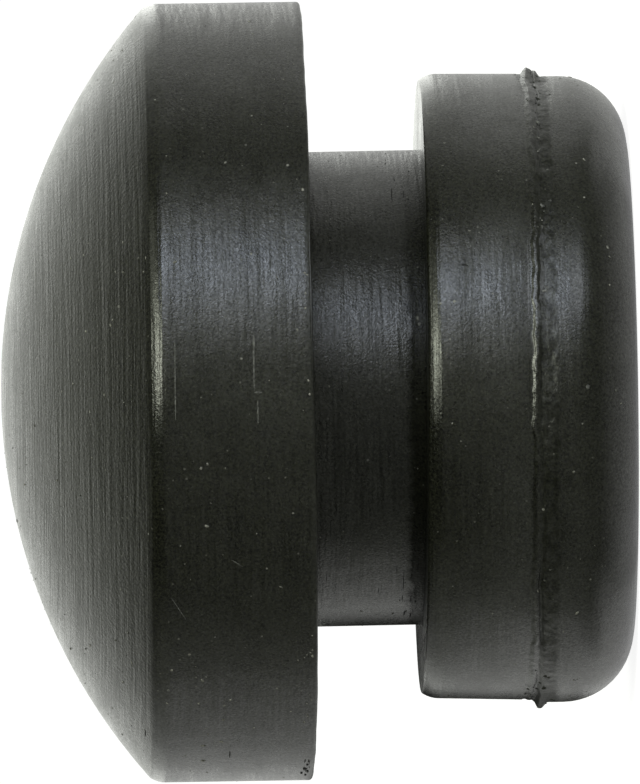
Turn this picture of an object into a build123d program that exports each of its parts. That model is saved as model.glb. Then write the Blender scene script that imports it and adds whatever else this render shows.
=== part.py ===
from build123d import *
import os
from math import radians, sqrt, tan

# Push-in rubber plug, moulded in one piece: a domed head, a neck that a panel's edge sits round,
# and a retaining flange that squeezes through the hole.
# Frame: millimetres, +Z up along the axis. The flange's flat end stands on z = 0, the dome is on top.

# Driving dimensions
head_diameter = 25.0        # straight rim of the head
rim_height = 4.95           # from the head's underside to where the dome starts
dome_radius = 18.7          # spherical crown
dome_edge_radius = 0.7      # the crown turns into the rim
underside_edge_radius = 0.1
neck_diameter = 15.2
neck_length = 3.7           # width of the groove that takes the panel
flange_diameter = 20.1      # at the parting line of the mould
flange_upper_length = 3.7   # from the parting line up to the groove
flange_lower_length = 3.0   # from the flat end up to the parting line
flange_draft = 0.4          # degrees, the upper part narrows towards the groove
flange_edge_radius = 0.3    # at the groove
end_edge_radius = 2.2       # large round at the flat end
mould_offset = 0.08         # the lower mould half sat this far out of line, towards -X
flash_height = 0.12         # ridge of flash left all round the parting line
flash_width = 0.3
nib_height = 0.18           # torn ends of the flash, at +X and -X
nib_width = 0.48
nib_arc = 14.0              # degrees of the flange's edge that each nib takes

# Heights along the axis
parting_z = flange_lower_length
flange_top_z = parting_z + flange_upper_length
head_bottom_z = flange_top_z + neck_length
rim_top_z = head_bottom_z + rim_height

# Radii, and the height of the crown that follows from them
head_radius = head_diameter / 2
neck_radius = neck_diameter / 2
flange_radius = flange_diameter / 2
flange_top_radius = flange_radius - flange_upper_length * tan(radians(flange_draft))
crown_z = rim_top_z + dome_radius - sqrt(dome_radius**2 - head_radius**2)


def bead_section(width, height):
    """Triangle of flash on the parting line, as wide as stated where it leaves the flange."""
    root_depth = height + mould_offset
    root_half_width = width / 2 * (height + root_depth) / height
    with BuildSketch(Plane.XZ) as section:
        with BuildLine():
            Polyline(
                (flange_radius - root_depth, parting_z - root_half_width),
                (flange_radius + height, parting_z),
                (flange_radius - root_depth, parting_z + root_half_width),
                close=True,
            )
        make_face()
    return section.sketch


with BuildPart() as plug:
    # What the upper mould half forms: the head, the neck and the upper part of the flange
    with BuildSketch(Plane.XZ) as upper_section:
        with BuildLine():
            dome = RadiusArc((0, crown_z), (head_radius, rim_top_z), dome_radius)
            Polyline(
                dome @ 1,
                (head_radius, head_bottom_z),
                (neck_radius, head_bottom_z),
                (neck_radius, flange_top_z),
                (flange_top_radius, flange_top_z),
                (flange_radius, parting_z),
                (0, parting_z),
                dome @ 0,
            )
        make_face()
        for corner, radius in (
            ((head_radius, rim_top_z), dome_edge_radius),
            ((head_radius, head_bottom_z), underside_edge_radius),
            ((flange_top_radius, flange_top_z), flange_edge_radius),
        ):
            fillet(upper_section.vertices().sort_by_distance(corner)[0], radius)
    revolve(axis=Axis.Z)

    # What the lower mould half forms: the flange's rounded end, slightly out of line
    with Locations((-mould_offset, 0, 0)):
        Cylinder(flange_radius, flange_lower_length, align=(Align.CENTER, Align.CENTER, Align.MIN))
    fillet(plug.edges().group_by(Axis.Z)[0], end_edge_radius)

    # Flash along the parting line, and the two nibs where it was torn off
    revolve(bead_section(flash_width, flash_height), axis=Axis.Z)
    for middle in (0, 180):
        nib_start = bead_section(nib_width, nib_height).rotate(Axis.Z, middle - nib_arc / 2)
        revolve(nib_start, axis=Axis.Z, revolution_arc=nib_arc)

plug.part.label = "plug"

os.makedirs("parts", exist_ok=True)
export_step(plug.part, "parts/plug.step")
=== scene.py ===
import bpy
import math
import random
from mathutils import Matrix, Vector, noise

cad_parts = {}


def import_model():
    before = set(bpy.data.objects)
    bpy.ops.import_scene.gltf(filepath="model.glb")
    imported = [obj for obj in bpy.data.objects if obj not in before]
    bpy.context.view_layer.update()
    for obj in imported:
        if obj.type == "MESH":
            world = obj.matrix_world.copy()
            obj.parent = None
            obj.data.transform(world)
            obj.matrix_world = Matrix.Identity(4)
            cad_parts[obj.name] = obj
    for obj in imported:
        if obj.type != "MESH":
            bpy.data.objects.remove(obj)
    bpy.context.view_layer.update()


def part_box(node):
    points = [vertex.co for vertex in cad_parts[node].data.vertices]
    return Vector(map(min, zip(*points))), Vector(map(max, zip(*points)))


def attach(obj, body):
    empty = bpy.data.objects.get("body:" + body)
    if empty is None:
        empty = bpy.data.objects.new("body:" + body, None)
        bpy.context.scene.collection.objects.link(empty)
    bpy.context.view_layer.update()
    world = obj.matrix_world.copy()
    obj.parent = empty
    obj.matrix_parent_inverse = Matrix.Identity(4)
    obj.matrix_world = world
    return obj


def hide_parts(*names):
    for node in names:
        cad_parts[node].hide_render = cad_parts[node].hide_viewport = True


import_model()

# The plug stands on its flange with the domed head up. Sizes are in millimetres, as in the CAD.
MM = 0.001
plug_low, plug_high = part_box("plug")
HEAD_R = (plug_high.x - plug_low.x) / 2 / MM
CROWN_Z = plug_high.z / MM
RIM_HEIGHT = 4.95
NECK_R = 7.62
NECK_LENGTH = 3.7
FLANGE_R = 10.05
FLANGE_TOP_R = 10.025
FLANGE_LENGTH = 6.7
END_ROUND = 2.2
UNDERSIDE_ROUND = 0.1
DOME_R = 18.7
PARTING_Z = 3.0

# The flange's skin runs in under the neck, and the neck's skin down into the flange, so that no gap shows
FLANGE_UNDER_NECK = 0.4
NECK_INTO_FLANGE = 0.5
# A small flat face closes the flange's skin in the middle of its end
END_MIDDLE_R = 0.4

# The two worn edges: radius of the curve, and the tilts of the skin where it starts and ends, from upright
DOME_EDGE = (0.86, 2, 36)
SHOULDER_EDGE = (1.0, 4, 33)
# Height of the fine ridges that the mould left in them, and how finely they are meshed
DOME_RIDGES = 0.0013
SHOULDER_RIDGES = 0.0024
EDGE_ROWS = 16
ROWS_TO_A_RIDGE = 4

# How finely the two skins are meshed round the axis
HEAD_SEGMENTS = 720
FLANGE_SEGMENTS = 1100
# Faces that meet at more than this angle keep a sharp edge between them
SHARP_DEGREES = 50

HEAD_Z = FLANGE_LENGTH + NECK_LENGTH
RIM_Z = HEAD_Z + RIM_HEIGHT
# The rim's skin is a hair inside the solid, which leaves room for dust
RIM_R = HEAD_R - 0.006
DOME_CENTRE = CROWN_Z - DOME_R


def edge_size(edge):
    """How far a worn edge reaches in and up."""
    size, low_tilt, high_tilt = edge
    low, high = math.radians(low_tilt), math.radians(high_tilt)
    return size * (math.cos(low) - math.cos(high)), size * (math.sin(high) - math.sin(low))


DOME_EDGE_IN, DOME_EDGE_UP = edge_size(DOME_EDGE)
RIM_TOP = DOME_CENTRE + math.sqrt(DOME_R**2 - (RIM_R - DOME_EDGE_IN) ** 2) - DOME_EDGE_UP
SHOULDER_CORNER = 0.08
SHOULDER_IN, SHOULDER_UP = edge_size(SHOULDER_EDGE)
CORNER_IN, CORNER_UP = edge_size((SHOULDER_CORNER, SHOULDER_EDGE[2], 90))
SHOULDER_Z = FLANGE_LENGTH - SHOULDER_UP - CORNER_UP

# ---------------------------------------------------------------- section of the plug

def line(start, end, steps):
    """Points from start to end, without the last one. A point is radius, height, shift and lean."""
    return [[a + (b - a) * i / steps for a, b in zip(start, end)] for i in range(steps)]


def arc(centre, radius, start_deg, end_deg, set_start, set_end, steps):
    """Points on an arc, without the last one; shift and lean run from set_start to set_end."""
    rows = []
    for i in range(steps):
        share = i / steps
        angle = math.radians(start_deg + (end_deg - start_deg) * share)
        point = [centre[0] + radius * math.cos(angle), centre[1] + radius * math.sin(angle)]
        rows.append(point + [a + (b - a) * share for a, b in zip(set_start, set_end)])
    return rows


def worn_edge(radius, height, edge, place, ridges):
    """A blunted edge that starts at the given point, with the fine ridges of the mould in it."""
    size, low_tilt, high_tilt = edge
    low = math.radians(low_tilt)
    centre = (radius - size * math.cos(low), height - size * math.sin(low))
    rows = arc(centre, size, low_tilt, high_tilt, place, place, EDGE_ROWS)
    for i, row in enumerate(rows):
        row[0] -= ridges * math.sin(2 * math.pi * i / ROWS_TO_A_RIDGE)
    return rows


# How far each part of the moulding sits off the axis, in millimetres towards +X, and how far out of square
END_SET = (-0.067, 0.0)
LOWER_SET = (-0.067, -0.006)
UPPER_SET = (0.03, -0.006)
SHOULDER_SET = (0.09, -0.0100)
NECK_LOW_SET = (0.06, -0.0100)
NECK_HIGH_SET = (0.043, 0.004)
UNDERSIDE_SET = (0.0, 0.0030)
RIM_SET = (0.0, -0.0046)
CROWN_SET = (0.0, 0.0)

# The parting line: height from its plane and how far the skin stands out there, round the whole flange
PARTING_PROFILE = (
    (-0.52, 0.0), (-0.40, -0.003), (-0.14, -0.012), (0.11, -0.022), (0.19, 0.004),
    (0.25, 0.026), (0.30, 0.024), (0.42, -0.016), (0.48, -0.014), (0.54, 0.0),
)
PARTING_LOW = PARTING_Z + PARTING_PROFILE[0][0]
PARTING_HIGH = PARTING_Z + PARTING_PROFILE[-1][0]
# Over this height the skin steps from the lower mould half to the upper one
MOULD_STEP = 0.1


def flange_section():
    """The flange's outline from the middle of the flat end up and in to under the neck."""
    flat_r = FLANGE_R - END_ROUND
    inner_r = NECK_R - FLANGE_UNDER_NECK
    step_top = PARTING_Z + MOULD_STEP
    rows = line((END_MIDDLE_R, 0, *END_SET), (flat_r, 0, *END_SET), 2)
    rows += arc((flat_r, END_ROUND), END_ROUND, -90, 0, END_SET, LOWER_SET, 14)
    rows += line((FLANGE_R, END_ROUND, *LOWER_SET), (FLANGE_R, PARTING_LOW, *LOWER_SET), 1)
    rows += line((FLANGE_R, PARTING_LOW, *LOWER_SET), (FLANGE_R, PARTING_Z, *LOWER_SET), 18)
    rows += line((FLANGE_R, PARTING_Z, *LOWER_SET), (FLANGE_R, step_top, *UPPER_SET), 3)
    rows += line((FLANGE_R, step_top, *UPPER_SET), (FLANGE_R, PARTING_HIGH, *UPPER_SET), 20)
    rows += line((FLANGE_R, PARTING_HIGH, *UPPER_SET), (FLANGE_TOP_R, SHOULDER_Z, *SHOULDER_SET), 3)
    rows += worn_edge(FLANGE_TOP_R, SHOULDER_Z, SHOULDER_EDGE, SHOULDER_SET, SHOULDER_RIDGES)
    corner_tilt = SHOULDER_EDGE[2]
    corner_r = FLANGE_TOP_R - SHOULDER_IN - SHOULDER_CORNER * math.cos(math.radians(corner_tilt))
    rows += arc((corner_r, FLANGE_LENGTH - SHOULDER_CORNER), SHOULDER_CORNER,
                corner_tilt, 90, SHOULDER_SET, SHOULDER_SET, 4)
    shoulder_r = FLANGE_TOP_R - SHOULDER_IN - CORNER_IN
    rows += line((shoulder_r, FLANGE_LENGTH, *SHOULDER_SET), (inner_r, FLANGE_LENGTH, *NECK_LOW_SET), 2)
    rows.append((inner_r, FLANGE_LENGTH, *NECK_LOW_SET))
    return rows


def head_section():
    """The outline of the neck and head, from inside the flange up to the crown."""
    under_r = RIM_R - UNDERSIDE_ROUND
    rim_low = HEAD_Z + UNDERSIDE_ROUND
    rows = [(NECK_R, FLANGE_LENGTH - NECK_INTO_FLANGE, *NECK_LOW_SET)]
    rows += line((NECK_R, FLANGE_LENGTH, *NECK_LOW_SET), (NECK_R, HEAD_Z, *NECK_HIGH_SET), 4)
    rows += line((NECK_R, HEAD_Z, *NECK_HIGH_SET), (under_r, HEAD_Z, *UNDERSIDE_SET), 4)
    rows += arc((under_r, rim_low), UNDERSIDE_ROUND, -90, 0, UNDERSIDE_SET, UNDERSIDE_SET, 4)
    rows += line((RIM_R, rim_low, *UNDERSIDE_SET), (RIM_R, RIM_TOP, *RIM_SET), 32)
    rows += worn_edge(RIM_R, RIM_TOP, DOME_EDGE, RIM_SET, DOME_RIDGES)
    dome_turn = math.degrees(math.acos((RIM_R - DOME_EDGE_IN) / DOME_R))
    rows += arc((0, DOME_CENTRE), DOME_R, dome_turn, 89, RIM_SET, CROWN_SET, 64)
    return rows


def revolved(name, rows, segments, relief):
    """A closed smooth mesh of the section, each row set off the axis and out of square as stated.

    relief gives, for a turn in degrees, a radius and a height, how far the skin there stands out and how far
    it wanders up.
    """
    points = []
    for radius, height, shift, lean in rows:
        for k in range(segments):
            turn = 360 * k / segments
            out, up = relief(turn, radius, height)
            angle = math.radians(turn)
            x = shift + (radius + out) * math.cos(angle)
            y = (radius + out) * math.sin(angle)
            points.append((x * MM, y * MM, (height + up + lean * x) * MM))
    faces = []
    for row in range(len(rows) - 1):
        for k in range(segments):
            after = (k + 1) % segments
            low, high = row * segments, (row + 1) * segments
            faces.append((low + k, low + after, high + after, high + k))
    faces.append(tuple(reversed(range(segments))))
    faces.append(tuple(range((len(rows) - 1) * segments, len(rows) * segments)))
    mesh = bpy.data.meshes.new(name)
    mesh.from_pydata(points, [], faces)
    mesh.shade_smooth()
    mesh.set_sharp_from_angle(angle=math.radians(SHARP_DEGREES))
    piece = bpy.data.objects.new(name, mesh)
    bpy.context.collection.objects.link(piece)
    return piece


# ---------------------------------------------------------------- the torn parting line

# Bands of heights from the parting plane, each as where it rises and where it falls
WANDER_BAND = ((-0.52, -0.40), (0.44, 0.54))
TORN_BAND = ((-0.45, -0.30), (0.02, 0.12))
RIDGE_BAND = ((0.05, 0.2), (0.3, 0.4))
CRACK_AT = 0.14

# The torn nibs: turn in degrees, how far they stand out, their reach in degrees and their band of heights
NIBS = (
    (0, 0.21, 8, ((-0.24, -0.06), (0.14, 0.42))),
    (180, 0.19, 7, ((-0.33, -0.09), (0.0, 0.23))),
)
# The flash is flatter and more ragged within about this many degrees of a nib
NIB_SURROUNDS = 30

# The head's lower edge is torn up to this height
TORN_EDGE_HEIGHT = 0.6


def smooth(value, low, high):
    """Rises from 0 at low to 1 at high without a kink."""
    share = min(1.0, max(0.0, (value - low) / (high - low)))
    return share * share * (3 - 2 * share)


def in_band(at, band):
    """1 inside a band of heights and 0 outside it, with soft edges."""
    rise, fall = band
    return smooth(at, *rise) * (1 - smooth(at, *fall))


def along(profile, at):
    """How far a profile stands out at a place, with smooth turns at its points."""
    for (low, low_out), (high, high_out) in zip(profile, profile[1:]):
        if low <= at <= high:
            return low_out + (high_out - low_out) * smooth(at, low, high)
    return 0.0


def lumps(angle, height, pitch, seed):
    """Noise from -1 to 1 over the flange's wall, with lumps of about the given pitch."""
    place = Vector((FLANGE_R * math.cos(angle), FLANGE_R * math.sin(angle), height))
    return noise.noise(place / pitch + Vector((seed, 3.1 * seed, 7.7)))


def turn_from(turn, middle):
    """How many degrees one turn is from another, either way round."""
    return abs((turn - middle + 180) % 360 - 180)


def torn_edge_relief(turn, radius, height):
    """The head's lower edge is a little torn: it wanders downwards."""
    if radius < RIM_R - 0.3 or height > HEAD_Z + TORN_EDGE_HEIGHT:
        return 0.0, 0.0
    angle = math.radians(turn)
    near = 1 - smooth(height, HEAD_Z + UNDERSIDE_ROUND, HEAD_Z + TORN_EDGE_HEIGHT)
    down = 0.035 + 0.045 * lumps(angle, 0, 4.0, 11) + 0.012 * lumps(angle, 0, 0.6, 12)
    return 0.0, -near * down


def parting_relief(turn, radius, height):
    """A ridge of flash over a torn band, with a crack between them and a nib on either side."""
    if radius < FLANGE_R - 0.1 or not PARTING_LOW < height < PARTING_HIGH:
        return 0.0, 0.0
    angle = math.radians(turn)
    at = height - PARTING_Z
    nearest_nib = min(turn_from(turn, nib[0]) for nib in NIBS)
    by_a_nib = math.exp(-((nearest_nib / NIB_SURROUNDS) ** 4))
    out = along(PARTING_PROFILE, at)
    if at < 0:
        out *= 1 - 0.9 * by_a_nib
    ridge = in_band(at, RIDGE_BAND)
    out += ridge * 0.020 * lumps(angle, 0, 1.3, 1)
    out += ridge * 0.012 * lumps(angle, height, 0.24, 2)
    cracked = smooth(lumps(angle, 0, 1.7, 9), -0.15, 0.25)
    crack_reach = 0.05 if at > CRACK_AT else 0.30
    out -= cracked * 0.034 * math.exp(-(((at - CRACK_AT) / crack_reach) ** 2))
    torn = in_band(at, TORN_BAND) * (1 - 0.7 * by_a_nib)
    out += torn * (0.014 * lumps(angle, height, 0.34, 3) + 0.012 * lumps(angle, height, 0.16, 4))
    wander = in_band(at, WANDER_BAND)
    up = wander * (0.09 * lumps(angle, 0, 1.1, 5) + 0.06 * (1 - 0.8 * by_a_nib) * lumps(angle, 0, 0.36, 6))

    for middle, stands_out, reach, band in NIBS:
        near = math.exp(-((turn_from(turn, middle) / reach) ** 2))
        out += stands_out * near * in_band(at, band)
    ragged = 0.016 * lumps(angle, height, 0.7, 7) + 0.008 * lumps(angle, height, 0.2, 8)
    out += wander * by_a_nib * ragged
    return out, up


# ---------------------------------------------------------------- dust, scuffs and nicks

def skin_point(height):
    """Radius of the skin at a height in millimetres, and how far its normal tilts up in radians."""
    if height < END_ROUND:
        low = END_ROUND - max(height, 0.0)
        return FLANGE_R - END_ROUND + math.sqrt(END_ROUND**2 - low**2), -math.asin(low / END_ROUND)
    if height < SHOULDER_Z:
        return FLANGE_TOP_R, 0.0
    if height < FLANGE_LENGTH:
        inwards = SHOULDER_IN / SHOULDER_UP * (height - SHOULDER_Z)
        return FLANGE_TOP_R - inwards, math.radians(SHOULDER_EDGE[2] / 2)
    if height < HEAD_Z:
        return NECK_R, 0.0
    if height < RIM_TOP:
        return RIM_R, 0.0
    if height < RIM_TOP + DOME_EDGE_UP:
        inwards = DOME_EDGE_IN / DOME_EDGE_UP * (height - RIM_TOP)
        return RIM_R - inwards, math.radians(DOME_EDGE[2] / 2)
    up = height - DOME_CENTRE
    return math.sqrt(DOME_R**2 - up**2), math.asin(up / DOME_R)


def set_at(height):
    """How far the skin sits off the axis at a height, and how far it leans."""
    if height < PARTING_Z:
        return LOWER_SET
    if height < FLANGE_LENGTH:
        share = (height - PARTING_Z) / (FLANGE_LENGTH - PARTING_Z)
        return [a + (b - a) * share for a, b in zip(UPPER_SET, SHOULDER_SET)]
    if height < HEAD_Z:
        share = (height - FLANGE_LENGTH) / NECK_LENGTH
        return [a + (b - a) * share for a, b in zip(NECK_LOW_SET, NECK_HIGH_SET)]
    return RIM_SET


def fleck(points, faces, turn, height, length, width, slant, depth=0.5, around=7, steps=5):
    """Adds a small flat closed grain to the skin.

    turn is in degrees from the -Y side towards +X, and slant from round the axis towards along it. The sizes
    are in millimetres, and the grain's thickness is depth times its width.
    """
    start = len(points)
    radius, tilt = skin_point(height)
    shift, lean = set_at(height)
    out_there, up_there = parting_relief(turn - 90, FLANGE_R, height)
    radius += out_there
    slant_angle = math.radians(slant)
    size = length + width
    for i in range(1, steps):
        share = math.pi * i / steps
        for j in range(around):
            spin = 2 * math.pi * j / around
            rough = 1 + 0.45 * noise.noise(Vector((turn + 3 * i, height * 9 + 2 * j, size * 31)))
            far = -math.cos(share) * length / 2
            side = math.cos(spin) * math.sin(share) * width / 2 * rough
            out = math.sin(spin) * math.sin(share) * width / 2 * depth * rough
            round_way = far * math.cos(slant_angle) - side * math.sin(slant_angle)
            up_way = far * math.sin(slant_angle) + side * math.cos(slant_angle)
            angle = math.radians(turn - 90) + round_way / radius
            r = radius - up_way * math.sin(tilt) + out * math.cos(tilt)
            z = height + up_there + up_way * math.cos(tilt) + out * math.sin(tilt)
            x = min(max(shift + r * math.cos(angle), -HEAD_R), HEAD_R)
            y = min(max(r * math.sin(angle), -HEAD_R), HEAD_R)
            points.append((x * MM, y * MM, (z + lean * x) * MM))
    rings_made = steps - 1
    for i in range(rings_made - 1):
        for j in range(around):
            low, high = start + i * around, start + (i + 1) * around
            after = (j + 1) % around
            faces.append((low + j, low + after, high + after, high + j))
    faces.append(tuple(reversed(range(start, start + around))))
    faces.append(tuple(range(start + (rings_made - 1) * around, start + rings_made * around)))


# Placed marks longer than this lie flatter and are meshed more finely, and scattered ones shorter than this
# are meshed more coarsely
LONG_MARK = 0.4
SMALL_MARK = 0.15


def flecks(name, placed, scattered):
    """One piece of many grains: the ones that stand at their own places, and the scattered ones."""
    points, faces = [], []
    for mark in placed:
        long_one = mark[2] > LONG_MARK
        fleck(points, faces, *mark, depth=0.25 if long_one else 0.5, steps=14 if long_one else 5)
    for mark in scattered:
        fleck(points, faces, *mark, around=6, steps=4 if mark[2] < SMALL_MARK else 8)
    mesh = bpy.data.meshes.new(name)
    mesh.from_pydata(points, [], faces)
    mesh.shade_smooth()
    piece = bpy.data.objects.new(name, mesh)
    bpy.context.collection.objects.link(piece)
    return piece


def torn_line(count, seed):
    """Short cracks along both edges of the torn band, all round the flange."""
    draw = random.Random(seed)
    found = []
    for _ in range(count):
        height = PARTING_Z + draw.choice((0.42, 0.42, 0.12, 0.10, -0.40)) + draw.uniform(-0.03, 0.03)
        found.append((draw.uniform(0, 360), height, draw.uniform(0.15, 0.7), draw.uniform(0.02, 0.05),
                      draw.uniform(-14, 14)))
    return found


def scars(count, seed, turns, heights):
    """Small dark tears, drawn out round the plug."""
    draw = random.Random(seed)
    found = []
    for _ in range(count):
        length = 0.06 + 0.5 * draw.random() ** 2
        found.append((draw.uniform(*turns), draw.uniform(*heights), length, draw.uniform(0.02, 0.045),
                      draw.uniform(-4, 4)))
    return found


def crumbs(count, seed, turns):
    """Crumbs of rubber in the torn band."""
    draw = random.Random(seed)
    found = []
    for _ in range(count):
        height = PARTING_Z + draw.uniform(-0.42, 0.10)
        size = 0.04 + 0.08 * draw.random() ** 2
        turn = draw.uniform(*turns)
        length = size * draw.uniform(1.0, 2.0)
        found.append((turn, height, length, size, draw.uniform(0, 180)))
    return found


def scattered_dust(count, seed):
    """Dust all round the plug, thinner on the neck and the flat end."""
    draw = random.Random(seed)
    found = []
    while len(found) < count:
        height = draw.uniform(1.4, RIM_TOP)
        if draw.random() < 0.35:
            height = DOME_CENTRE + math.sqrt(DOME_R**2 - RIM_R**2 * draw.uniform(0.02, 0.95))
        turn = draw.uniform(0, 360)
        size = 0.030 + 0.06 * draw.random() ** 4
        keep = 0.35 if FLANGE_LENGTH < height < HEAD_Z else 1.0
        near_edge = abs(height - HEAD_Z) < 0.12 or abs(height - FLANGE_LENGTH) < 0.12
        if draw.random() < keep and not near_edge:
            found.append((turn, height, size * draw.uniform(1.0, 2.2), size, draw.uniform(0, 180)))
    return found


# The larger marks, each at its own place: turn in degrees from the -Y side towards +X, height, length and
# width in millimetres, and slant in degrees
DUST = (
    (-29.6, 11.45, 0.17, 0.05, 60), (8.8, 10.88, 0.10, 0.08, 0), (0.6, 9.79, 0.08, 0.07, 0),
    (25.9, 6.41, 0.11, 0.09, 0), (29.4, 5.35, 0.14, 0.06, 70), (29.0, 5.03, 0.09, 0.06, 20),
    (29.8, 4.81, 0.10, 0.05, 120), (27.5, 0.95, 0.13, 0.10, 30), (25.6, 0.90, 0.10, 0.07, 60),
    (19.8, 0.92, 0.09, 0.08, 0), (-0.4, 0.77, 0.10, 0.09, 0), (-3.0, 0.60, 0.07, 0.06, 0),
    (11.6, 16.73, 0.13, 0.09, 40), (12.4, 16.66, 0.09, 0.08, 0), (10.9, 16.80, 0.08, 0.06, 0),
    (20.4, 16.55, 0.11, 0.07, 10), (19.8, 16.33, 0.15, 0.04, 70), (18.4, 15.68, 0.10, 0.08, 80),
    (20.9, 15.83, 0.08, 0.07, 0), (20.4, 15.61, 0.12, 0.05, 0), (29.3, 17.93, 0.09, 0.08, 0),
    (-3.3, 17.40, 0.11, 0.08, 20), (39.9, 18.16, 0.09, 0.06, 30), (24.9, 16.31, 0.08, 0.06, 0),
    (27.5, 17.53, 0.08, 0.07, 0), (70.8, 3.13, 0.22, 0.06, 90), (55.5, 3.22, 0.27, 0.08, 40),
    (56.7, 2.74, 0.26, 0.05, 50), (60.0, 2.52, 0.24, 0.08, 20), (50.5, 2.91, 0.15, 0.05, 90),
    (-40.2, 3.21, 0.18, 0.12, 20), (-39.3, 2.92, 0.20, 0.07, 60), (-14.6, 2.90, 0.11, 0.10, 0),
    (29.6, 2.97, 0.10, 0.09, 0), (-40.0, 6.60, 0.26, 0.05, 20), (-42.4, 6.58, 0.24, 0.05, 160),
    (-42.1, 10.44, 0.12, 0.10, 0), (-42.4, 10.70, 0.07, 0.05, 30), (-41.9, 10.62, 0.07, 0.05, 0),
    (-41.5, 10.50, 0.09, 0.06, 60), (-41.0, 10.45, 0.08, 0.06, 0), (-38.2, 10.46, 0.06, 0.05, 0),
    (-50.4, 10.52, 0.06, 0.05, 0), (-51.6, 10.45, 0.09, 0.06, 80), (-52.5, 10.60, 0.07, 0.05, 0),
    (-57.3, 10.67, 0.10, 0.08, 0), (-55.6, 10.57, 0.07, 0.05, 40), (-43.0, 10.90, 0.10, 0.05, 0),
    (-56.3, 13.24, 0.11, 0.09, 0), (-51.3, 13.02, 0.12, 0.08, 0), (-62.8, 13.29, 0.16, 0.08, 60),
    (-64.1, 13.86, 0.20, 0.09, 90), (-69.9, 13.85, 0.20, 0.10, 90), (-41.6, 16.26, 0.10, 0.08, 0),
    (-47.6, 16.14, 0.26, 0.04, 30), (-44.5, 14.89, 0.11, 0.09, 0), (-51.8, 15.05, 0.20, 0.05, 55),
    (12.0, 10.62, 0.09, 0.07, 0), (14.2, 10.60, 0.10, 0.05, 0), (1.5, 10.56, 0.10, 0.06, 30),
    (-0.5, 10.52, 0.09, 0.07, 0), (30.5, 10.62, 0.12, 0.10, 0), (17.0, 10.55, 0.10, 0.05, 90),
    (-11.0, 13.95, 0.11, 0.09, 0), (-10.4, 13.75, 0.10, 0.08, 0), (-12.9, 15.20, 0.14, 0.05, 80),
)
SCUFFS = (
    (4.05, 12.26, 1.85, 0.050, 0), (6.9, 12.25, 0.50, 0.08, 0), (-0.15, 12.14, 0.30, 0.07, 90),
    (-3.0, 12.15, 0.80, 0.040, 0), (5.4, 14.74, 0.90, 0.035, 0), (0.2, 14.74, 1.90, 0.045, 0),
    (-33.0, 14.68, 0.98, 0.028, 29), (-25.6, 12.83, 0.48, 0.032, 55), (0.3, 1.67, 0.17, 0.13, 0),
    (16.7, 6.95, 0.20, 0.14, 0), (15.2, 6.90, 0.14, 0.10, 0), (-48.8, 14.99, 0.12, 0.08, 0),
    (-52.3, 14.67, 0.12, 0.07, 60),
)
NICKS = (
    (22.4, 5.54, 0.30, 0.07, 85), (-63.3, 15.70, 0.50, 0.05, 0), (-67.4, 13.01, 0.60, 0.05, 0),
    (-54.0, 7.39, 1.10, 0.030, 0), (-49.5, 7.62, 0.50, 0.020, 0), (-52.0, 9.90, 0.50, 0.025, 0),
    (-62.0, 7.41, 0.50, 0.030, 0), (-58.0, 8.20, 0.40, 0.020, 0),
    (-75.0, 10.60, 0.39, 0.12, 0), (-77.6, 10.69, 0.36, 0.09, 0), (-76.6, 10.50, 0.38, 0.09, 0),
    (-79.2, 10.56, 0.39, 0.08, 0), (-72.6, 10.52, 0.24, 0.09, 0),
    (-73.0, 3.25, 0.22, 0.12, 60), (-75.5, 3.22, 0.20, 0.10, 20), (-70.0, 2.85, 0.50, 0.07, 0),
)

# Where small tears gather: how many, the seed, and the ranges of turn and height
SCARS = (
    (16, 8, (48, 82), (6.9, 7.9)),
    (18, 9, (-75, -45), (6.9, 7.5)),
    (10, 10, (-80, -66), (10.44, 10.75)),
    (40, 12, (58, 87), (2.55, 3.5)),
    (40, 13, (-87, -58), (2.5, 3.4)),
)
# Where crumbs of torn rubber gather: how many, the seed, and the range of turn
CRUMBS = (
    (320, 3, (0, 360)),
    (36, 14, (55, 86)),
    (36, 15, (-86, -55)),
)


# ---------------------------------------------------------------- materials

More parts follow.
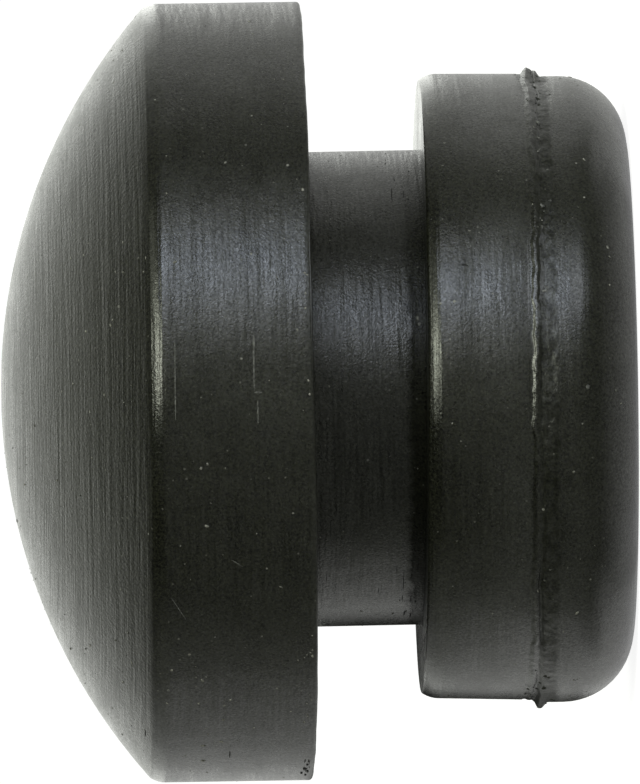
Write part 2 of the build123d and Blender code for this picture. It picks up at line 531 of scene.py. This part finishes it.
class Graph:
    """Short calls for building a node tree."""

    def __init__(self, tree):
        self.tree = tree
        self.tree.nodes.clear()

    def node(self, kind, inputs=(), **settings):
        made = self.tree.nodes.new("ShaderNode" + kind)
        for key, value in settings.items():
            setattr(made, key, value)
        for key, value in dict(inputs).items():
            if isinstance(value, bpy.types.NodeSocket):
                self.tree.links.new(value, made.inputs[key])
            else:
                made.inputs[key].default_value = value
        return made

    def math(self, operation, *values):
        return self.node("Math", enumerate(values), operation=operation).outputs[0]

    def chain(self, operation, values):
        """The values joined by one operation, one after another."""
        joined = values[0]
        for value in values[1:]:
            joined = self.math(operation, joined, value)
        return joined

    def product(self, *values):
        return self.chain("MULTIPLY", values)

    def total(self, *values):
        return self.chain("ADD", values)

    def highest(self, *values):
        return self.chain("MAXIMUM", values)

    def less(self, value, taken):
        return self.math("SUBTRACT", value, taken)

    def vector(self, x, y, z):
        return self.node("CombineXYZ", {0: x, 1: y, 2: z}).outputs[0]

    def scaled(self, vector, factor):
        return self.node("VectorMath", {0: vector, 3: factor}, operation="SCALE").outputs[0]

    def noise(self, vector, detail=2.0, roughness=0.5):
        settings = {"Vector": vector, "Scale": 1.0, "Detail": detail, "Roughness": roughness}
        return self.node("TexNoise", settings).outputs[0]

    def mix(self, factor, first, second):
        made = self.node("Mix", {0: factor, 6: first, 7: second}, data_type="RGBA")
        return made.outputs[2]

    def cells(self, vector):
        """Cells: the distance to the nearest cell's point, and that cell's own number (0 to 1)."""
        pattern = self.node("TexVoronoi", {"Vector": vector, "Scale": 1.0, "Randomness": 1.0})
        number = self.node("SeparateColor", {0: pattern.outputs["Color"]}).outputs[0]
        return pattern.outputs["Distance"], number

    def ramp(self, value, low, high, out_low=0.0, out_high=1.0):
        inputs = {0: value, 1: low, 2: high, 3: out_low, 4: out_high}
        return self.node("MapRange", inputs).outputs[0]

    def ramp_mm(self, value, low_mm, high_mm, out_low=0.0, out_high=1.0):
        """A ramp over a length, with its ends in millimetres."""
        return self.ramp(value, low_mm * MM, high_mm * MM, out_low, out_high)

    def from_axis(self, x, y):
        return self.math("SQRT", self.total(self.product(x, x), self.product(y, y)))


class Skin(Graph):
    """The rubber's node tree, with the places on the plug and the patterns that its marks are made of."""

    def __init__(self, tree):
        super().__init__(tree)
        self.place = self.node("TexCoord").outputs["Object"]
        self.x, self.y, self.z = self.node("SeparateXYZ", {0: self.place}).outputs
        self.radius = self.from_axis(self.x, self.y)
        self.on_dome = self.ramp_mm(self.z, RIM_Z, RIM_Z + 0.4)
        self.on_neck = self.ramp_mm(self.radius, NECK_R + 0.2, NECK_R + 0.3, 1.0, 0.0)
        # slow smears, drawn out a little round the plug
        self.smear = self.ramp(self.noise(self.drawn_out(2.4, 1.1), 4.0, 0.6), 0.3, 0.7)
        # the torn band under the flash, with wandering edges
        self.wander = self.product(self.less(self.grain(0.4), 0.5), 0.25 * MM)
        above = self.total(self.less(self.z, PARTING_Z * MM), self.wander)
        torn_low, torn_high = self.ramp_mm(above, -0.46, -0.36), self.ramp_mm(above, 0.14, 0.22, 1.0, 0.0)
        self.torn = self.product(torn_low, torn_high)
        self.near_parting = self.ramp_mm(self.math("ABSOLUTE", above), 0.45, 0.60, 0.85, 0.0)

    def drawn_out(self, round_mm, along_mm):
        """The place on the skin, for a pattern of the given sizes round the plug and along its outline."""
        along_skin = self.less(self.z, self.radius)
        return self.vector(
            self.product(self.x, 1 / (round_mm * MM)),
            self.product(self.y, 1 / (round_mm * MM)),
            self.product(along_skin, 1 / (along_mm * MM)),
        )

    def rings(self, pitch_mm, length_mm, detail=1.0):
        """Noise drawn out round the axis, as the turned mould left it."""
        return self.noise(self.drawn_out(length_mm, pitch_mm), detail)

    def grain(self, pitch_mm, detail=2.0):
        return self.noise(self.scaled(self.place, 1 / (pitch_mm * MM)), detail)

    def between(self, low_mm, high_mm):
        """1 in the middle of a band of heights, fading out towards its ends."""
        middle, half = (low_mm + high_mm) / 2, (high_mm - low_mm) / 2
        away = self.math("ABSOLUTE", self.less(self.z, middle * MM))
        return self.ramp_mm(away, 0.6 * half, half, 1.0, 0.0)

    def specks(self, cell_mm, size_mm, seed_mm, share):
        """Specks of dust: the cell points that lie in the surface, in the given share of the cells."""
        moved = self.node("VectorMath", {0: self.place, 1: (seed_mm * MM,) * 3}, operation="ADD").outputs[0]
        distance, number = self.cells(self.scaled(moved, 1 / (cell_mm * MM)))
        reach = self.ramp(number, 1 - share, 1.0, 0.0, size_mm / cell_mm)
        return self.ramp(self.less(reach, distance), 0.0, 0.3 * size_mm / cell_mm)


# Heights of the surface marks, in millimetres
RING_COARSE = 0.018
RING_FINE = 0.0095
RING_DOME = 0.024
GRAIN_FINE = 0.0066
GRAIN_MIDDLE = 0.004
GRAIN_DOME = 0.016
SWELL = 0.010
# How much deeper the fine ones are on the neck
NECK_DEEPER = 1.6


def surface_height(skin):
    """The turned rings, the grain and the slow swell of the moulded skin, in metres."""
    deeper = skin.ramp(skin.on_neck, 0.0, 1.0, 1.0, NECK_DEEPER)
    parts = (
        (skin.rings(0.50, 14.0), RING_COARSE),
        (skin.product(skin.rings(0.15, 1.8), deeper), RING_FINE),
        (skin.product(skin.rings(0.20, 4.0, 2.0), skin.on_dome), RING_DOME),
        (skin.product(skin.grain(0.11), skin.on_dome), GRAIN_DOME),
        (skin.product(skin.grain(0.06), deeper), GRAIN_FINE),
        (skin.grain(0.13), GRAIN_MIDDLE),
        (skin.grain(0.9), SWELL),
    )
    return skin.total(*[skin.product(pattern, height_mm * MM) for pattern, height_mm in parts])


def rubber_tone(skin):
    """Smears between a darker and a paler black, mottled from grain to grain."""
    smeared = skin.mix(skin.smear, (0.0059, 0.0062, 0.0037, 1), (0.0091, 0.0094, 0.0057, 1))
    mottle = skin.ramp(skin.grain(0.07, 3.0), 0.36, 0.64, 0.15, 1.85)
    return skin.scaled(smeared, mottle)


def fine_dust(skin):
    """Larger specks, and fainter small ones between them."""
    small = skin.specks(0.30, 0.045, 3.3, 0.6)
    return skin.highest(skin.specks(0.55, 0.060, 0.0, 0.4), skin.product(small, 0.45))


def pits(skin):
    """Pits where the nibs were torn off, drawn out round the flange."""
    distance, number = skin.cells(skin.vector(
        skin.product(skin.x, 1 / (0.20 * MM)),
        skin.product(skin.y, 1 / (0.45 * MM)),
        skin.product(skin.z, 1 / (0.20 * MM)),
    ))
    by_a_nib = skin.ramp_mm(skin.math("ABSOLUTE", skin.x), 8.0, 9.3)
    torn_off = skin.product(by_a_nib, skin.ramp(skin.near_parting, 0.0, 0.4))
    size = skin.product(skin.ramp(number, 0.30, 1.0, 0.0, 0.50), torn_off)
    ragged_rim = skin.total(distance, skin.ramp(skin.grain(0.10), 0.3, 0.7, -0.12, 0.20))
    return skin.ramp(skin.less(size, ragged_rim), 0.0, 0.10)


def roughness(skin, dust):
    """Rougher where the skin is smeared, torn or dusty, and smoother where the worn edges are rubbed."""
    low_on_head = skin.ramp_mm(skin.total(skin.z, skin.wander), HEAD_Z + 0.06, HEAD_Z + 0.18, 1.0, 0.0)
    on_rim = skin.ramp_mm(skin.radius, HEAD_R - 0.3, HEAD_R - 0.2)
    torn = skin.highest(skin.torn, skin.product(low_on_head, on_rim, 0.6))
    dome_edge = skin.between(RIM_TOP, RIM_TOP + DOME_EDGE_UP)
    rubbed = skin.highest(dome_edge, skin.between(SHOULDER_Z, FLANGE_LENGTH))
    return skin.total(
        skin.ramp(skin.smear, 0.0, 1.0, 0.24, 0.33),
        skin.product(torn, 0.10),
        skin.product(rubbed, -0.05),
        skin.product(dust, 0.3),
        skin.ramp(skin.grain(0.09), 0.3, 0.7, -0.04, 0.04),
    )


def dull_places(skin):
    """The torn band in patches, painted shade with some grime on the neck next to the flange, and the skin
    round the nibs.
    """
    patchy = skin.product(skin.torn, skin.ramp(skin.grain(0.35, 3.0), 0.35, 0.65, 0.05, 0.55))
    # painted shade: the neck's gloss is dulled next to the flange as in a shaded corner, fading out towards
    # +X where the lamps are; part of it is grime
    thins_out = skin.ramp_mm(skin.x, 3.0, 7.0, 0.8, 0.15)
    ragged_height = skin.total(skin.z, skin.product(skin.wander, 1.8))
    low_on_neck = skin.ramp_mm(ragged_height, FLANGE_LENGTH + 0.42, FLANGE_LENGTH + 0.68, 1.0, 0.0)
    corner_shade_and_grime = skin.product(skin.on_neck, thins_out, low_on_neck)
    by_a_nib = skin.ramp_mm(skin.math("ABSOLUTE", skin.x), 9.2, 9.8)
    return skin.highest(patchy, corner_shade_and_grime, skin.product(by_a_nib, skin.near_parting))


def gloss(skin, in_pit):
    """Gloss in fine grain and blotches, highest on the flange just above the parting line."""
    fine = skin.ramp(skin.grain(0.075, 3.0), 0.3, 0.7, 0.32, 0.76)
    blotches = skin.ramp(skin.grain(1.3), 0.3, 0.7, 0.88, 1.12)
    outer_dome = skin.ramp_mm(skin.z, RIM_Z + 0.4, RIM_Z + 2.0, 0.86, 1.0)
    dome_share = skin.highest(outer_dome, skin.less(1.0, skin.on_dome))
    rise = skin.ramp_mm(skin.z, PARTING_Z - 0.4, PARTING_Z + 0.6, 1.12, 1.30)
    fall = skin.ramp_mm(skin.z, PARTING_Z + 1.4, PARTING_Z + 2.6, 1.30, 0.98)
    past_flange = skin.ramp_mm(skin.z, FLANGE_LENGTH, FLANGE_LENGTH + 0.1, 0.0, 0.02)
    shine = skin.total(skin.math("MINIMUM", rise, fall), past_flange)
    not_dulled = skin.less(1.0, dull_places(skin))
    return skin.product(fine, blotches, dome_share, not_dulled, shine, skin.less(1.0, in_pit))


def black_rubber():
    material = bpy.data.materials.new("black_rubber_moulded")
    material.use_nodes = True
    skin = Skin(material.node_tree)
    bump = skin.node("Bump", {"Strength": 1.0, "Distance": 1.0, "Height": surface_height(skin)})
    dust = fine_dust(skin)
    in_pit = pits(skin)
    dusty = skin.mix(skin.product(dust, 0.8), rubber_tone(skin), (0.20, 0.195, 0.175, 1))
    shader = skin.node("BsdfPrincipled", {
        "Base Color": skin.mix(in_pit, dusty, (0.050, 0.051, 0.045, 1)),
        "Roughness": roughness(skin, dust),
        "Specular IOR Level": gloss(skin, in_pit),
        "Normal": bump.outputs[0],
    })
    skin.node("OutputMaterial", {0: shader.outputs[0]})
    return material


def grain_material(name, dark, light, roughness, pitch_mm):
    """A dull material that varies between two colours from grain to grain."""
    material = bpy.data.materials.new(name)
    material.use_nodes = True
    g = Graph(material.node_tree)
    place = g.node("TexCoord").outputs["Object"]
    spread = g.ramp(g.noise(g.scaled(place, 1 / (pitch_mm * MM))), 0.3, 0.7)
    bump = g.node("Bump", {"Strength": 1.0, "Distance": 0.01 * MM, "Height": spread})
    shader = g.node("BsdfPrincipled", {
        "Base Color": g.mix(spread, dark, light),
        "Roughness": roughness,
        "Specular IOR Level": 0.3,
        "Normal": bump.outputs[0],
    })
    g.node("OutputMaterial", {0: shader.outputs[0]})
    return material


# ---------------------------------------------------------------- the plug

rubber = black_rubber()
head = revolved("head_and_neck", head_section(), HEAD_SEGMENTS, torn_edge_relief)
flange = revolved("flange", flange_section(), FLANGE_SEGMENTS, parting_relief)
for piece in (head, flange):
    piece.data.materials.append(rubber)
    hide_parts("plug")
    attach(piece, "root")

pale_dust = grain_material("pale_dust", (0.06, 0.06, 0.054, 1), (0.30, 0.29, 0.26, 1), 0.8, 0.12)
scuffed_rubber = grain_material("scuffed_rubber", (0.04, 0.04, 0.037, 1), (0.15, 0.15, 0.14, 1), 0.6, 0.12)
nicked_rubber = grain_material(
    "nicked_rubber", (0.003, 0.003, 0.003, 1), (0.014, 0.014, 0.011, 1), 0.8, 0.2)

dust = flecks("dust", DUST, scattered_dust(700, 7))
dust.data.materials.append(pale_dust)
torn_off = [crumb for gathered in CRUMBS for crumb in crumbs(*gathered)]
scuffs = flecks("scuffs", SCUFFS, torn_off)
scuffs.data.materials.append(scuffed_rubber)
tears = torn_line(260, 5) + [scar for gathered in SCARS for scar in scars(*gathered)]
nicks = flecks("nicks", NICKS, tears)
nicks.data.materials.append(nicked_rubber)
for piece in (dust, scuffs, nicks):
    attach(piece, "root")


# ---------------------------------------------------------------- floor, light and camera

# How white the floor looks to the camera, over the light that falls on it, and how strong the glow painted
# on the floor is in the gloss of the rubber
FLOOR_LIFT = 0.88
FLOOR_PAINTED_GLOW = 0.60


def floor():
    bpy.ops.mesh.primitive_circle_add(vertices=128, radius=10.0, fill_type="NGON")
    ground = bpy.context.object
    ground.name = "floor"
    material = bpy.data.materials.new("pale_floor")
    material.use_nodes = True
    g = Graph(material.node_tree)
    rays = g.node("LightPath").outputs
    x, y, _ = g.node("SeparateXYZ", {0: g.node("TexCoord").outputs["Object"]}).outputs
    from_axis = g.from_axis(x, y)
    # a glow painted on the floor under the plug, close beside it and behind it, seen only in the rubber's
    # gloss as a painted highlight on its rounded end
    under = g.ramp_mm(from_axis, 10.9, 9.2, 0.0, 0.82)
    beside = g.product(g.ramp_mm(y, -8.6, -5.8), g.ramp_mm(from_axis, 11.5, 10.8))
    painted_glow_place = g.highest(under, beside, g.ramp_mm(y, -7.0, -2.0))
    shine = g.product(rays["Is Glossy Ray"], painted_glow_place, FLOOR_PAINTED_GLOW)
    strength = g.total(g.product(rays["Is Camera Ray"], FLOOR_LIFT), shine)
    paper = g.node("BsdfDiffuse", {"Color": (0.48, 0.48, 0.48, 1)})
    lift = g.node("Emission", {"Color": (1, 1, 1, 1), "Strength": strength})
    both = g.node("AddShader", {0: paper.outputs[0], 1: lift.outputs[0]})
    g.node("OutputMaterial", {0: both.outputs[0]})
    ground.data.materials.append(material)


def flag():
    """A black board low down behind the plug, seen only in its gloss, which darkens the outlines there.

    The board fades out to both sides, so that it leaves no hard edge in the gloss. Sizes are in millimetres.
    """
    low, high, top = -17.8, 0.0, 10.2
    low_fade, high_fade = 3.0, 8.0
    away = 11.0
    corners = ((low, away, 0), (high, away, 0), (high, away, top), (low, away, top))
    mesh = bpy.data.meshes.new("flag")
    mesh.from_pydata([Vector(corner) * MM for corner in corners], [], [(0, 1, 2, 3)])
    board = bpy.data.objects.new("flag", mesh)
    bpy.context.collection.objects.link(board)
    material = bpy.data.materials.new("black_board")
    material.use_nodes = True
    g = Graph(material.node_tree)
    x = g.node("SeparateXYZ", {0: g.node("TexCoord").outputs["Object"]}).outputs[0]
    solid = g.product(g.ramp_mm(x, low, low + low_fade), g.ramp_mm(x, high - high_fade, high, 1.0, 0.0))
    black = g.node("BsdfDiffuse", {"Color": (0.01, 0.01, 0.01, 1)})
    clear = g.node("BsdfTransparent")
    faded = g.node("MixShader", {0: solid, 1: clear.outputs[0], 2: black.outputs[0]})
    g.node("OutputMaterial", {0: faded.outputs[0]})
    mesh.materials.append(material)
    board.visible_camera = False
    board.visible_diffuse = False
    board.visible_shadow = False


def towards(swing, spin):
    """The direction that lies swing degrees off the -Y side.

    At spin 0 it leans down to the floor, and at spin 90 to +X.
    """
    lean = math.sin(math.radians(swing))
    return Vector((
        lean * math.sin(math.radians(spin)),
        -math.cos(math.radians(swing)),
        -lean * math.cos(math.radians(spin)),
    ))


# Tints of the lights, each with 1 as its brightest part
NEUTRAL = (0.98, 1.00, 0.95)
WARM = (0.95, 1.00, 0.82)
FAINTLY_COOL = (0.88, 0.93, 1.00)
COOL = (0.77, 0.86, 1.00)

# The walls of the studio: direction as swing and spin, how tight the glow is, strength and tint
GLOWS = (
    (180, 90, 3, 1.55, NEUTRAL),
    (158, 90, 20, 1.1, NEUTRAL),
    (120, 95, 8, 0.62, NEUTRAL),
    (120, 265, 8, 0.22, NEUTRAL),
    (120, 180, 8, 0.40, WARM),
    (90, 97, 10, 0.15, WARM),
    (90, 263, 10, 0.35, WARM),
    (18, 268, 14, 0.20, NEUTRAL),
)

# Softboxes: name, direction as swing and spin, distance, width and height in metres, radiance and tint
SOFTBOXES = (
    ("side_softbox_1", 20, 92, 0.30, 0.050, 0.16, 2.2, NEUTRAL),
    ("side_softbox_2", 29, 92, 0.30, 0.042, 0.16, 5.1, FAINTLY_COOL),
    ("side_softbox_3", 36, 92, 0.30, 0.042, 0.16, 8.4, COOL),
    ("side_softbox_4", 43, 92, 0.30, 0.042, 0.16, 2.3, COOL),
    ("side_softbox_5", 50, 92, 0.30, 0.042, 0.16, 2.8, NEUTRAL),
    ("head_softbox_1", 16, 165, 0.40, 0.08, 0.10, 1.0, WARM),
    ("head_softbox_2", 30, 165, 0.40, 0.12, 0.10, 4.9, WARM),
    ("head_softbox_3", 40, 162, 0.40, 0.18, 0.10, 9.3, WARM),
    ("corner_softbox_1", 50, 130, 0.40, 0.16, 0.16, 0.37, WARM),
    ("corner_softbox_2", 66, 148, 0.40, 0.16, 0.16, 1.2, WARM),
)


def world():
    """White where the camera looks straight at it, and soft glows for everything else."""
    made = bpy.data.worlds.new("studio")
    bpy.context.scene.world = made
    made.use_nodes = True
    g = Graph(made.node_tree)
    direction = g.node("TexCoord").outputs["Generated"]
    light = (0.0, 0.0, 0.0)
    for swing, spin, tightness, strength, tint in GLOWS:
        inputs = {0: direction, 1: towards(swing, spin)}
        facing = g.node("VectorMath", inputs, operation="DOT_PRODUCT").outputs["Value"]
        fall = g.math("EXPONENT", g.product(g.less(facing, 1.0), tightness))
        glow = g.scaled(tint, g.product(fall, strength))
        light = g.node("VectorMath", {0: light, 1: glow}, operation="ADD").outputs[0]
    seen = g.node("LightPath").outputs["Is Camera Ray"]
    back = g.node("Background", {"Color": g.mix(seen, light, (1, 1, 1, 1)), "Strength": 1.0})
    g.node("OutputWorld", {0: back.outputs[0]})


def softbox(name, away, distance, width, height, radiance, tint, aim):
    """An area light that faces aim from the given direction. radiance is that of its brightest colour."""
    data = bpy.data.lights.new(name, "AREA")
    data.shape = "RECTANGLE"
    data.size, data.size_y = width, height
    data.energy = radiance * math.pi * width * height
    data.color = tint
    lamp = bpy.data.objects.new(name, data)
    bpy.context.collection.objects.link(lamp)
    lamp.location = Vector(aim) + away * distance
    lamp.rotation_mode = "QUATERNION"
    lamp.rotation_quaternion = away.to_track_quat("Z", "Y")
    lamp.visible_camera = False


def camera():
    """Looks across the plug from the -Y side, rolled so that the head is at the left of the picture."""
    raise_angle = 0.0235
    roll = 0.0156
    sensor = 36.0
    view_height = 25.17 * MM
    distance = 578 * MM
    target = Vector((-0.045 * MM, 0, 9.90 * MM))
    right = Vector((0, -math.sin(raise_angle), -math.cos(raise_angle)))
    up = Vector((1, 0, 0))
    back = right.cross(up)
    turned_right = right * math.cos(roll) - up * math.sin(roll)
    turned_up = right * math.sin(roll) + up * math.cos(roll)
    data = bpy.data.cameras.new("camera")
    data.lens = sensor * distance / view_height
    data.sensor_width = sensor
    data.clip_start, data.clip_end = 0.01, 20.0
    made = bpy.data.objects.new("camera", data)
    bpy.context.collection.objects.link(made)
    place = Matrix((turned_right, turned_up, back)).transposed().to_4x4()
    place.translation = target + back * distance
    made.matrix_world = place
    bpy.context.scene.camera = made


floor()
flag()
world()
middle = (0, 0, CROWN_Z / 2 * MM)
for name, swing, spin, distance, width, height, radiance, tint in SOFTBOXES:
    softbox(name, towards(swing, spin), distance, width, height, radiance, tint, middle)

# A small strip that lies on the floor and lights the rounded end from below
STRIP_PLACE = (7.6 * MM, -15.0 * MM, 0.5 * MM)
STRIP_SIDE = 6 * MM
straight_down = Vector((0, 0, -1))
softbox("low_strip", straight_down, 0.3 * MM, STRIP_SIDE, STRIP_SIDE, 3.3, FAINTLY_COOL, STRIP_PLACE)
camera()

scene = bpy.context.scene
scene.view_settings.view_transform = "Standard"
